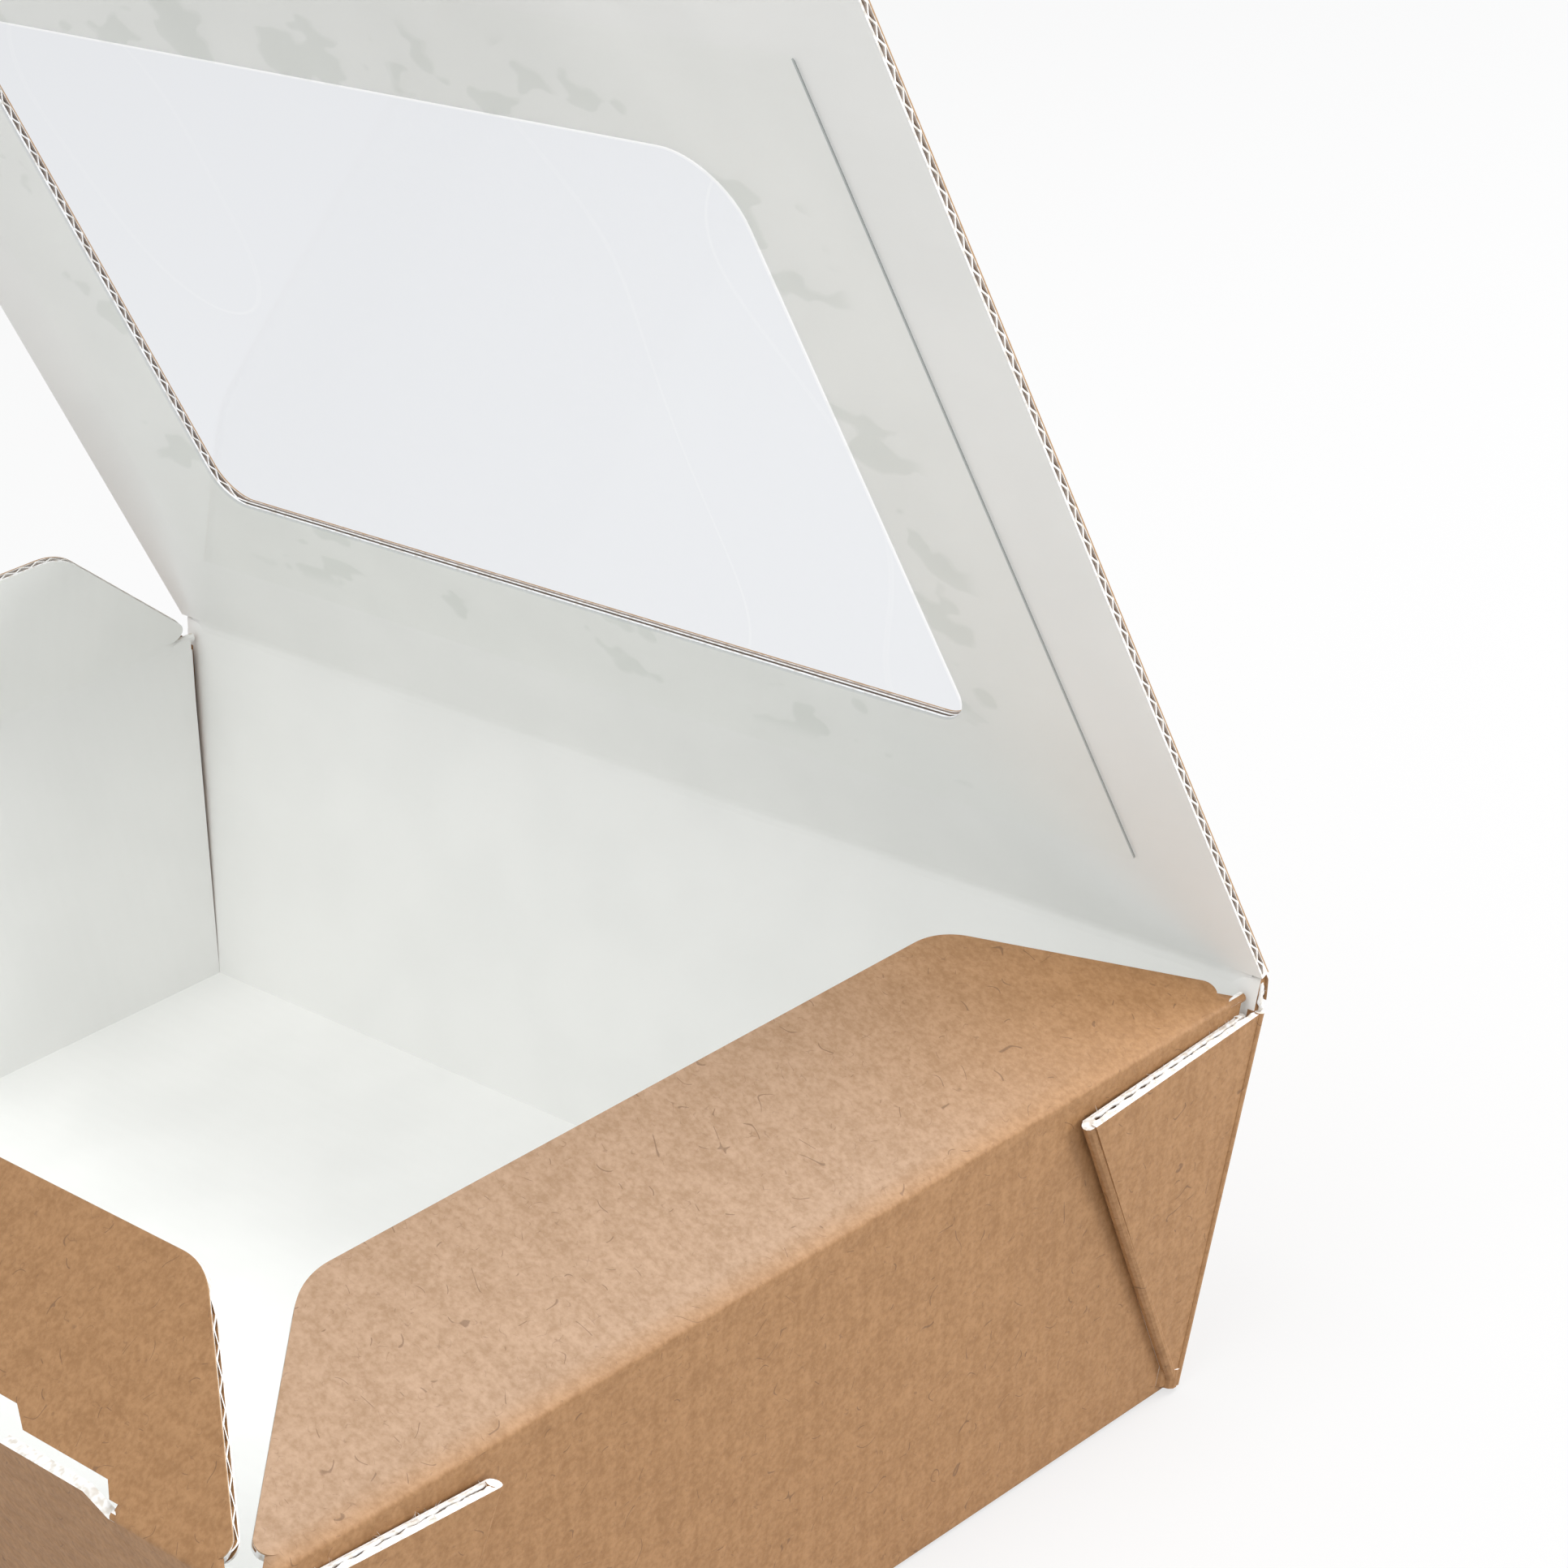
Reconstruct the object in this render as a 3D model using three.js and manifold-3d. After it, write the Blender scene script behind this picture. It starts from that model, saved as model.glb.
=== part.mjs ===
// Takeaway lunch box with a window in its lid: one folded blank of fine corrugated card,
// kraft outside and white inside, with a clear film glued behind the window.
//
// Lengths are millimetres. X runs along the hinge, Y towards the hinge, Z up.
// The origin is the middle of the underside of the floor.
// The lid stands open, and the three inner flaps have sprung up from the rim.

import * as THREE from 'three';
import { mergeGeometries, mergeVertices } from 'three/addons/utils/BufferGeometryUtils.js';
import Module from 'manifold-3d';

const wasm = await Module();
wasm.setup();

// The board: two liners with a wavy medium between them
const boardThickness = 1.2;
const linerThickness = 0.25;
const mediumThickness = 0.2;
const flutePitch = 2.47;
const creaseLand = 2.6; // width of crushed, flute-free board beside a crease
const fluteEndMargin = 1.2; // solid board left past the last flute

// The tray, over its outer faces
const topLength = 200;
const topDepth = 143.2;
const trayHeight = 49;
const floorLength = 182;
const floorDepth = 121.4;

// The corner webs, folded in half and glued flat on the end walls
const webThickness = 0.7; // board that the gluing press has crushed
const layerPitch = 1; // spacing of the layers at the rim, from one middle plane to the next
const apexLayerPitch = 0.6; // the same at the floor, where the fold is crushed hardest
const webLift = 0.8; // how far the diagonal fold springs off the wall
const webCornerDrop = 1.7; // raw edge below the rim crease, at the corner
const webTipDrop = 3.1; // the same at the end of the diagonal fold
const cornerSeam = 0.5; // gap seen from inside between the end wall and the long wall

// Creases that move
const creaseGap = 0.45; // from the bead of a crease to the panel that turns on it

// The three inner flaps on the rim
const flapWidth = 25;
const flapEndRun = 25; // how far the slanted end runs along the rim
const flapEndInset = 1.2; // from the tray's corner to the end of the flap
const flapTipRadius = 9;
const flapRootRadius = 1.6;
const rightFlapTilt = 29.2; // above level, in degrees
const leftFlapTilt = 68.2;
const frontFlapTilt = 39.6;

// The slot along the front crease, deepest in its middle, where the tongue goes in
const slotLength = 155;
const slotEndDepth = 2.6;
const slotMiddleLength = 116;
const slotMiddleDepth = 4.5;
const slotSlant = 2.7; // run of the slanted cuts at its ends and steps
const tabClearance = 0.3; // between the slot's edge and the low tab left on the wall

// The lid
const lidOpening = 69; // above closed, in degrees
const lidCornerRadius = 7;
const closedLidClearance = 0.3; // between the film of the closed lid and a level flap
const windowLength = 138;
const windowHingeMargin = 30.2;
const windowFrontMargin = 32.4;
const windowHingeRadius = 5;
const windowFrontRadius = 9;

// The film behind the window
const filmThickness = 0.2;
const glueLine = 0.2;
const filmOverlapEnds = 18.5; // past the window at its two short sides
const filmOverlapHinge = 14.5;
const filmOverlapFront = 14.9;
const filmCornerRadius = 0.6;

// The tongue on the lid's front edge
const tongueLength = 14;
const tongueSideClearance = 3; // between the tongue and the deep part of the slot, each end
const tongueWallClearance = 0.35;
const tongueCornerRadius = 6;
const tongueBend = 75; // from straight, with the lid at rest, in degrees

// Facets of the round parts
const beadSides = 12;
const archStops = [-0.4, 0, 0.4]; // shares of half a flute
const cornerSegments = 6;
const smallestEdge = 0.01; // shorter slivers left by a cut are closed up

// Worked out from the sizes above. The walls are set out on the middle plane of the board.
const half = boardThickness / 2;
const panelStart = half + creaseGap;
const floorX = floorLength / 2 - half;
const floorY = floorDepth / 2 - half;
const floorZ = half;
const rimX = topLength / 2 - half - 2 * layerPitch;
const rimY = topDepth / 2 - half;
const rimZ = trayHeight - half;
const wallRise = rimZ - floorZ;
const foldRadius = (layerPitch + webThickness) / 2; // takes in two crushed layers
const rootRadius = boardThickness; // the lump of crushed board that closes a corner at the floor
const endWallInset = half + cornerSeam + foldRadius; // from the long wall to the end wall's side fold
const lidRise = boardThickness + glueLine + filmThickness + closedLidClearance;
const longWallLean = (rimY - floorY) / wallRise;
const endWallLean = (rimX - floorX) / wallRise;
const longWallAngle = Math.atan(longWallLean);
const lidHingeY = rimY + lidRise * longWallLean;
const lidHingeZ = rimZ + lidRise;
const tongueOffset = (boardThickness + tongueWallClearance) / Math.cos(longWallAngle);
const tongueAxisY = -rimY - lidRise * longWallLean + tongueOffset;
const lidDepth = lidHingeY - tongueAxisY;
const windowDepth = lidDepth - windowHingeMargin - windowFrontMargin;

const kraft = new THREE.MeshStandardMaterial({ color: 0xb48d68, roughness: 0.85, metalness: 0 });
const whiteCard = new THREE.MeshStandardMaterial({ color: 0xe2e3de, roughness: 0.7, metalness: 0 });
const clearFilm = new THREE.MeshStandardMaterial({
  color: 0xf4f7f8,
  roughness: 0.08,
  metalness: 0,
  transparent: true,
  opacity: 0.25,
});

// A geometry as a solid that can be cut and joined
function toSolid(geometry) {
  const bare = geometry.clone();
  bare.deleteAttribute('normal');
  bare.deleteAttribute('uv');
  const merged = mergeVertices(bare, 1e-5);
  return new wasm.Manifold(new wasm.Mesh({
    numProp: 3,
    vertProperties: new Float32Array(merged.attributes.position.array),
    triVerts: new Uint32Array(merged.index.array),
  }));
}

function toGeometry(solid) {
  const mesh = solid.simplify(smallestEdge).getMesh();
  const geometry = new THREE.BufferGeometry();
  geometry.setAttribute('position', new THREE.BufferAttribute(new Float32Array(mesh.vertProperties), 3));
  geometry.setIndex(new THREE.BufferAttribute(new Uint32Array(mesh.triVerts), 1));
  geometry.computeVertexNormals();
  return geometry;
}

function joinAll(solids) {
  return solids.reduce((joined, next) => joined.add(next));
}

// A closed outline of corners [x, y, radius], with an arc wherever the radius isn't 0
function roundedShape(corners) {
  const shape = new THREE.Shape();
  const count = corners.length;
  for (let i = 0; i < count; i += 1) {
    const corner = new THREE.Vector2(corners[i][0], corners[i][1]);
    const radius = corners[i][2] ?? 0;
    const before = corners[(i + count - 1) % count];
    const after = corners[(i + 1) % count];
    const inward = new THREE.Vector2(before[0], before[1]).sub(corner).normalize();
    const outward = new THREE.Vector2(after[0], after[1]).sub(corner).normalize();
    const turn = Math.acos(THREE.MathUtils.clamp(inward.dot(outward), -1, 1)) / 2;
    const setback = radius / Math.tan(turn);
    const start = corner.clone().addScaledVector(inward, setback);
    if (i === 0) shape.moveTo(start.x, start.y);
    else shape.lineTo(start.x, start.y);
    if (radius > 0) {
      const end = corner.clone().addScaledVector(outward, setback);
      const middle = inward.clone().add(outward).normalize();
      const centre = corner.clone().addScaledVector(middle, radius / Math.sin(turn));
      const from = Math.atan2(start.y - centre.y, start.x - centre.x);
      const to = Math.atan2(end.y - centre.y, end.x - centre.x);
      const clockwise = inward.x * outward.y - inward.y * outward.x > 0;
      shape.absarc(centre.x, centre.y, radius, from, to, clockwise);
    }
  }
  shape.closePath();
  return shape;
}

// A flat plate of the outline, with its middle plane at z = 0
function plate(shape, thickness = boardThickness) {
  const options = { depth: thickness, bevelEnabled: false, curveSegments: cornerSegments };
  const geometry = new THREE.ExtrudeGeometry(shape, options);
  return toSolid(geometry.translate(0, 0, -thickness / 2));
}

// One hollow of the corrugation, seen along the flutes: flat on one liner, arched over it
function fluteHollow(centre, side) {
  const coreHalf = half - linerThickness;
  const wave = coreHalf - mediumThickness / 2;
  const foot = flutePitch / 2 - mediumThickness / 2;
  const shape = new THREE.Shape();
  shape.moveTo(centre - foot, -side * coreHalf);
  for (const share of archStops) {
    const height = wave * Math.cos(Math.PI * share) - mediumThickness / 2;
    shape.lineTo(centre + share * foot, side * height);
  }
  shape.lineTo(centre + foot, -side * coreHalf);
  shape.closePath();
  return shape;
}

// All the hollows of a board that spans `low` to `high` across its flutes.
// They run along z, from 0 to `length`.
function fluteHollows(low, high, length) {
  const hollows = [];
  const options = { depth: length, bevelEnabled: false };
  const first = low + fluteEndMargin + flutePitch / 2;
  for (let centre = first; centre < high - fluteEndMargin - flutePitch; centre += flutePitch) {
    hollows.push(new THREE.ExtrudeGeometry(fluteHollow(centre, 1), options));
    hollows.push(new THREE.ExtrudeGeometry(fluteHollow(centre + flutePitch / 2, -1), options));
  }
  return mergeGeometries(hollows);
}

// Corrugated board with its flutes along x, cut to an outline
function boardFlutedAlongX(shape, halfLength, low, high) {
  const reach = halfLength + boardThickness;
  const hollows = fluteHollows(low, high, 2 * reach);
  const turn = new THREE.Matrix4().set(0, 0, 1, -reach, 1, 0, 0, 0, 0, 1, 0, 0, 0, 0, 0, 1);
  return plate(shape).subtract(toSolid(hollows.applyMatrix4(turn)));
}

// Corrugated board with its flutes along y, which stop at the crushed strip by the crease
function boardFlutedAlongY(shape, halfLength, width) {
  const hollows = fluteHollows(-halfLength, halfLength, width);
  const turn = new THREE.Matrix4().set(-1, 0, 0, 0, 0, 0, 1, creaseLand, 0, 1, 0, 0, 0, 0, 0, 1);
  return plate(shape).subtract(toSolid(hollows.applyMatrix4(turn)));
}

// A panel of board whose middle plane goes through a flat ring of points
function boardPanel(points, thickness = boardThickness) {
  const origin = points[0];
  const alongX = points[1].clone().sub(origin).normalize();
  const across = points[points.length - 1].clone().sub(origin);
  const normal = alongX.clone().cross(across).normalize();
  const alongY = normal.clone().cross(alongX);
  const corners = points.map((point) => {
    const from = point.clone().sub(origin);
    return [from.dot(alongX), from.dot(alongY)];
  });
  const frame = new THREE.Matrix4().makeBasis(alongX, alongY, normal).setPosition(origin);
  const options = { depth: thickness, bevelEnabled: false };
  const geometry = new THREE.ExtrudeGeometry(roundedShape(corners), options);
  return toSolid(geometry.translate(0, 0, -thickness / 2).applyMatrix4(frame));
}

// The rounded outside of a crease: a bar along the fold line
function creaseBead(from, to, radius = half) {
  const span = to.clone().sub(from);
  const geometry = new THREE.CylinderGeometry(radius, radius, span.length(), beadSides);
  const up = new THREE.Vector3(0, 1, 0);
  const turn = new THREE.Quaternion().setFromUnitVectors(up, span.clone().normalize());
  geometry.applyQuaternion(turn);
  const middle = from.clone().addScaledVector(span, 0.5);
  return toSolid(geometry.translate(middle.x, middle.y, middle.z));
}

function point(x, y, z) {
  return new THREE.Vector3(x, y, z);
}

// Where the walls are at a height, on their middle planes
function endWallX(z) {
  return floorX + (z - floorZ) * endWallLean;
}

function longWallY(z) {
  return floorY + (z - floorZ) * longWallLean;
}

// The half angle of a web in the flat blank is what the floor and the two walls leave of a turn
function diagonalSlope() {
  const endSlant = Math.hypot(wallRise, rimX - floorX);
  const longSlant = Math.hypot(wallRise, rimY - floorY);
  const endSideAngle = Math.atan((rimY - floorY) / endSlant);
  const cornerShift = rimX - floorX + 2 * (layerPitch - apexLayerPitch);
  const longSideAngle = Math.atan(cornerShift / longSlant);
  const webHalf = (Math.PI / 2 - endSideAngle - longSideAngle) / 2;
  return (Math.tan(webHalf - endSideAngle) * endSlant) / wallRise + longWallLean;
}

// A point on layer 0 (the end wall), 1 or 2 of a corner, `inward` from the corner along the wall
function layerPoint(layer, sideX, sideY, inward, z) {
  const share = (z - floorZ) / wallRise;
  const pitch = apexLayerPitch + (layerPitch - apexLayerPitch) * share;
  const lift = (webLift * inward) / (diagonalSlope() * wallRise);
  const x = endWallX(z) + layer * (pitch + lift / 2);
  return point(sideX * x, sideY * (longWallY(z) - inward), z);
}

// One corner: the web's two halves lie folded on the end wall, and join it to the long wall
function cornerWeb(sideX, sideY) {
  const slope = diagonalSlope();
  const tipZ = rimZ - webTipDrop;
  const cornerZ = rimZ - webCornerDrop;
  const tipInward = slope * (tipZ - floorZ);
  const solids = [];
  for (const layer of [1, 2]) {
    const start = layer === 1 ? endWallInset : 0;
    const apex = layerPoint(layer, sideX, sideY, 0, floorZ);
    const corner = layerPoint(layer, sideX, sideY, start, cornerZ);
    const tip = layerPoint(layer, sideX, sideY, tipInward, tipZ);
    solids.push(boardPanel([apex, corner, tip], webThickness));
  }
  const betweenWebs = 3 / 2;
  const diagonalFoot = layerPoint(betweenWebs, sideX, sideY, slope * foldRadius, floorZ + foldRadius);
  const diagonalTip = layerPoint(betweenWebs, sideX, sideY, tipInward, tipZ);
  solids.push(creaseBead(diagonalFoot, diagonalTip, foldRadius));
  const behindWeb = 1 / 2;
  const edgeFoot = layerPoint(behindWeb, sideX, sideY, endWallInset, floorZ + half);
  const edgeTop = layerPoint(behindWeb, sideX, sideY, endWallInset, cornerZ);
  solids.push(creaseBead(edgeFoot, edgeTop, foldRadius));
  const rootFoot = layerPoint(1, sideX, sideY, rootRadius - half, floorZ);
  const rootTop = layerPoint(1, sideX, sideY, rootRadius - half, floorZ + 2 * rootRadius);
  solids.push(creaseBead(rootFoot, rootTop, rootRadius));
  const wrapTop = layerPoint(2, sideX, sideY, 0, cornerZ);
  solids.push(creaseBead(layerPoint(2, sideX, sideY, 0, floorZ), wrapTop));
  return joinAll(solids);
}

// The corner of a long wall, in line with the outer half of the webs, at a height
function longWallCorner(sideX, sideY, z) {
  return layerPoint(2, sideX, sideY, 0, z);
}

// The outline of the low tabs that the slot's cut leaves standing on the front wall
function frontWallTop() {
  const rise = point(0, -longWallLean, 1).normalize();
  const tabHeight = slotEndDepth - tabClearance;
  const tabEnd = slotLength / 2 - tabClearance;
  const tabStart = slotMiddleLength / 2 + slotSlant;
  const stops = [
    [tabEnd, 0],
    [tabEnd - slotSlant, tabHeight],
    [tabStart, tabHeight],
    [tabStart - slotSlant, 0],
  ];
  const mirrored = stops.map(([x, up]) => [-x, up]).reverse();
  return [...stops, ...mirrored].map(([x, up]) => point(x, -rimY, rimZ).addScaledVector(rise, up));
}

function trayGeometry() {
  const floor = boardPanel([
    point(-floorX, -floorY, floorZ),
    point(floorX, -floorY, floorZ),
    point(floorX, floorY, floorZ),
    point(-floorX, floorY, floorZ),
  ]);
  const back = boardPanel([
    longWallCorner(1, 1, floorZ),
    longWallCorner(-1, 1, floorZ),
    point(-topLength / 2 + half, lidHingeY, lidHingeZ),
    point(topLength / 2 - half, lidHingeY, lidHingeZ),
  ]);
  const front = boardPanel([
    longWallCorner(-1, -1, floorZ),
    longWallCorner(1, -1, floorZ),
    longWallCorner(1, -1, rimZ),
    ...frontWallTop(),
    longWallCorner(-1, -1, rimZ),
  ]);
  const solids = [floor, back, front];
  for (const sideX of [-1, 1]) {
    const foot = floorY - half;
    const top = rimY - endWallInset;
    solids.push(boardPanel([
      point(sideX * floorX, -foot, floorZ),
      point(sideX * floorX, foot, floorZ),
      point(sideX * rimX, top, rimZ),
      point(sideX * rimX, -top, rimZ),
    ]));
    const flapEnd = rimY - flapEndInset;
    solids.push(creaseBead(point(sideX * floorX, -floorY, floorZ), point(sideX * floorX, floorY, floorZ)));
    solids.push(creaseBead(point(sideX * rimX, -flapEnd, rimZ), point(sideX * rimX, flapEnd, rimZ)));
    const frontCreaseEnd = sideX * (rimX - flapEndInset);
    solids.push(creaseBead(point(sideX * slotLength / 2, -rimY, rimZ), point(frontCreaseEnd, -rimY, rimZ)));
    for (const sideY of [-1, 1]) solids.push(cornerWeb(sideX, sideY));
  }
  for (const sideY of [-1, 1]) {
    const left = longWallCorner(-1, sideY, floorZ);
    const right = longWallCorner(1, sideY, floorZ);
    solids.push(creaseBead(left, right));
  }
  const hingeEnd = topLength / 2 - half;
  solids.push(creaseBead(point(-hingeEnd, lidHingeY, lidHingeZ), point(hingeEnd, lidHingeY, lidHingeZ)));
  return toGeometry(joinAll(solids));
}

// A flap with slanted, round-cornered ends: x along its crease, y away from it
function flapOutline(creaseHalf) {
  const tipHalf = creaseHalf - flapEndRun;
  return [
    [-creaseHalf, panelStart, flapRootRadius],
    [creaseHalf, panelStart, flapRootRadius],
    [tipHalf, flapWidth, flapTipRadius],
    [-tipHalf, flapWidth, flapTipRadius],
  ];
}

function endFlapGeometry() {
  const creaseHalf = rimY - flapEndInset;
  const shape = roundedShape(flapOutline(creaseHalf));
  return toGeometry(boardFlutedAlongY(shape, creaseHalf, flapWidth));
}

// The cut along the front crease, as a shape to take out of the front flap
function slotShape() {
  const end = slotLength / 2;
  const middle = slotMiddleLength / 2;
  return roundedShape([
    [-end, 0],
    [end, 0],
    [end - slotSlant, slotEndDepth],
    [middle + slotSlant, slotEndDepth],
    [middle, slotMiddleDepth],
    [-middle, slotMiddleDepth],
    [-middle - slotSlant, slotEndDepth],
    [-end + slotSlant, slotEndDepth],
  ]);
}

function frontFlapGeometry() {
  const creaseHalf = rimX - flapEndInset;
  const shape = roundedShape(flapOutline(creaseHalf));
  const board = boardFlutedAlongX(shape, creaseHalf, 0, flapWidth);
  return toGeometry(board.subtract(plate(slotShape(), 2 * boardThickness)));
}

function windowShape() {
  const end = windowLength / 2;
  const near = windowHingeMargin;
  const far = near + windowDepth;
  return roundedShape([
    [-end, near, windowHingeRadius],
    [end, near, windowHingeRadius],
    [end, far, windowFrontRadius],
    [-end, far, windowFrontRadius],
  ]);
}

// The lid: x along the hinge, y from the hinge to the front, z out of its kraft side
function lidPanelGeometry() {
  const end = topLength / 2;
  const far = lidDepth;
  const outline = roundedShape([
    [-end, panelStart],
    [end, panelStart],
    [end, far, lidCornerRadius],
    [-end, far, lidCornerRadius],
  ]);
  const tongueHalf = slotMiddleLength / 2 - tongueSideClearance;
  const sheet = boardFlutedAlongX(outline, end, 0, lidDepth);
  const bead = creaseBead(point(-tongueHalf, far, 0), point(tongueHalf, far, 0));
  return toGeometry(sheet.add(bead).subtract(plate(windowShape(), 2 * boardThickness)));
}

function windowFilmGeometry() {
  const end = windowLength / 2 + filmOverlapEnds;
  const near = windowHingeMargin - filmOverlapHinge;
  const far = windowHingeMargin + windowDepth + filmOverlapFront;
  const outline = roundedShape([
    [-end, near, filmCornerRadius],
    [end, near, filmCornerRadius],
    [end, far, filmCornerRadius],
    [-end, far, filmCornerRadius],
  ]);
  const film = plate(outline, filmThickness);
  return toGeometry(film.translate([0, 0, -half - glueLine - filmThickness / 2]));
}

function tongueGeometry() {
  const end = slotMiddleLength / 2 - tongueSideClearance;
  const outline = roundedShape([
    [-end, panelStart],
    [end, panelStart],
    [end - slotSlant, tongueLength, tongueCornerRadius],
    [-end + slotSlant, tongueLength, tongueCornerRadius],
  ]);
  return toGeometry(boardFlutedAlongX(outline, end, 0, tongueLength));
}

function namedMesh(name, geometry, material) {
  const mesh = new THREE.Mesh(geometry, material);
  mesh.name = name;
  return mesh;
}

// A panel that turns on a crease: heading 0 leads to +Y, and a positive tilt lifts it
function onCrease(place, heading, tilt, ...meshes) {
  const crease = new THREE.Group();
  crease.position.copy(place);
  crease.rotation.z = THREE.MathUtils.degToRad(heading);
  const turning = new THREE.Group();
  turning.rotation.x = THREE.MathUtils.degToRad(tilt);
  turning.add(...meshes);
  crease.add(turning);
  return crease;
}

const lunchBox = new THREE.Group();
lunchBox.add(namedMesh('tray', trayGeometry(), kraft));

const rightFlap = namedMesh('end_flap_right', endFlapGeometry(), kraft);
lunchBox.add(onCrease(point(rimX, 0, rimZ), 90, rightFlapTilt, rightFlap));

const leftFlap = namedMesh('end_flap_left', endFlapGeometry(), kraft);
lunchBox.add(onCrease(point(-rimX, 0, rimZ), -90, leftFlapTilt, leftFlap));

const frontFlap = namedMesh('front_flap', frontFlapGeometry(), kraft);
lunchBox.add(onCrease(point(0, -rimY, rimZ), 0, frontFlapTilt, frontFlap));

const lidPanel = namedMesh('lid_panel', lidPanelGeometry(), whiteCard);
const film = namedMesh('window_film', windowFilmGeometry(), clearFilm);
const tongue = namedMesh('lid_tongue', tongueGeometry(), kraft);
const tongueOnLid = onCrease(point(0, lidDepth, 0), 0, -tongueBend, tongue);
const lidPlace = point(0, lidHingeY, lidHingeZ);
lunchBox.add(onCrease(lidPlace, 180, lidOpening, lidPanel, film, tongueOnLid));

export default lunchBox;
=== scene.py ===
"""Window lunch box: materials, board edges, soft creases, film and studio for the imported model."""

import math
import random

import bpy
from mathutils import Matrix, Quaternion, Vector, noise


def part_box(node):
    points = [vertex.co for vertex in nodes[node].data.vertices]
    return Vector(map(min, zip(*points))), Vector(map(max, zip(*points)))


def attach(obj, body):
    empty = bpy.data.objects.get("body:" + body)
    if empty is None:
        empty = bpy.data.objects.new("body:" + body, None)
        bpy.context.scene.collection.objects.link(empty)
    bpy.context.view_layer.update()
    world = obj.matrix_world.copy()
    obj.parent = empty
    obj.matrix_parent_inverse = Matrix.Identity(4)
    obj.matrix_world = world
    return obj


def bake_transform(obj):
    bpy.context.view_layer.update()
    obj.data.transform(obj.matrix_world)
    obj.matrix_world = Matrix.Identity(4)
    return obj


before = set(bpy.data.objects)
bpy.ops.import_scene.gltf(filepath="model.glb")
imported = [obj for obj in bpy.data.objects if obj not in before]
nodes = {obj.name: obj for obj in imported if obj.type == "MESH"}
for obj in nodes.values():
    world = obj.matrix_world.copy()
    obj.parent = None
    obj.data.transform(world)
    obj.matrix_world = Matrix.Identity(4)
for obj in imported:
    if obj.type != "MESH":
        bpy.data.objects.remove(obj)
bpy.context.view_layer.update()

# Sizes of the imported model, in metres
MM = 0.001
HALF = 0.6 * MM
LINER = 0.25 * MM
FLUTE = 2.47 * MM
RIM_X, RIM_Y, RIM_Z = 97.4 * MM, 71.0 * MM, 48.4 * MM
FLOOR_X, FLOOR_Y, FLOOR_Z = 90.4 * MM, 60.1 * MM, 0.6 * MM
TOP_HALF = 100 * MM
FLAP_END = 1.2 * MM
SLOT_HALF = 77.5 * MM
TAB_CLEAR = 5 * MM
LID_HINGE = Vector((0, 71.4333 * MM, 50.3 * MM))
TONGUE_HINGE = Vector((0, 20.8042 * MM, 182.1932 * MM))
LAYER_PITCH, APEX_PITCH = 1.0 * MM, 0.6 * MM
WEB_LIFT = 0.8 * MM
WEB_CORNER_Z = RIM_Z - 1.7 * MM
WEB_TIP_Z = RIM_Z - 3.1 * MM
WINDOW_HALF, WINDOW_LOW, WINDOW_HIGH = 69 * MM, 30.2 * MM, 108.9 * MM
WINDOW_HINGE_RADIUS, WINDOW_FRONT_RADIUS = 5 * MM, 9 * MM
LID_OPEN = math.radians(69)
TONGUE_BEND = math.radians(75)
RIGHT_TILT, LEFT_TILT, FRONT_TILT = (math.radians(v) for v in (29.2, 68.2, 39.6))

# How far a flap's slanted end runs inward for each unit away from its crease
END_SLOPE = 1.05

WALL_RISE = RIM_Z - FLOOR_Z
LONG_LEAN = (RIM_Y - FLOOR_Y) / WALL_RISE
END_LEAN = (RIM_X - FLOOR_X) / WALL_RISE

# Soft creases: skins of paper over the bends
SKIN_STAND = 0.02 * MM
SKIN_THICK = 0.05 * MM
SKIN_ROWS = 70
SKIN_SWAY = 0.04 * MM
SKIN_SINK, SKIN_SINK_RUN = 0.25 * MM, 1.0 * MM
SKIN_PUFF = 0.02 * MM
SKIN_CLEAR, SLOT_CLEAR = 1.0 * MM, 0.1 * MM
BLEND_REACH = 1.05 * MM
INNER_REACH, INNER_SHORTER = 2.2 * MM, 1.5 * MM
FLAP_REACH, FRONT_REACH, LID_REACH = 2.4 * MM, 3.2 * MM, 2.2 * MM
BEND_SAMPLES = ((1.0, 0.06), (0.80, 0.02), (0.55, 0.0), (0.34, 0.0), (0.18, 0.0), (0.06, 0.0))

# Torn edges: widths, heights and the step between rows
WEB_TEAR_WIDE, HINGE_TEAR_WIDE, TEAR_TALL, TEAR_STEP = 0.58 * MM, 0.9 * MM, 0.30 * MM, 0.22 * MM


def turned(vector, axis, angle):
    return Quaternion(axis, angle) @ vector


# Directions at rest: along a panel away from its crease, and out of its kraft side
X, Y, Z = Vector((1, 0, 0)), Vector((0, 1, 0)), Vector((0, 0, 1))
END_SLANT = math.atan(END_LEAN)
LONG_SLANT = math.atan(LONG_LEAN)
LID_ALONG = Vector((0, -math.cos(LID_OPEN), math.sin(LID_OPEN)))
LID_OUT = Vector((0, math.sin(LID_OPEN), math.cos(LID_OPEN)))
TONGUE_ALONG = turned(LID_ALONG, X, TONGUE_BEND)
TONGUE_OUT = turned(LID_OUT, X, TONGUE_BEND)
RIGHT_ALONG = Vector((-math.cos(RIGHT_TILT), 0, math.sin(RIGHT_TILT)))
RIGHT_OUT = Vector((math.sin(RIGHT_TILT), 0, math.cos(RIGHT_TILT)))
LEFT_ALONG = Vector((math.cos(LEFT_TILT), 0, math.sin(LEFT_TILT)))
LEFT_OUT = Vector((-math.sin(LEFT_TILT), 0, math.cos(LEFT_TILT)))
FRONT_ALONG = Vector((0, math.cos(FRONT_TILT), math.sin(FRONT_TILT)))
FRONT_OUT = Vector((0, -math.sin(FRONT_TILT), math.cos(FRONT_TILT)))

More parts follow.
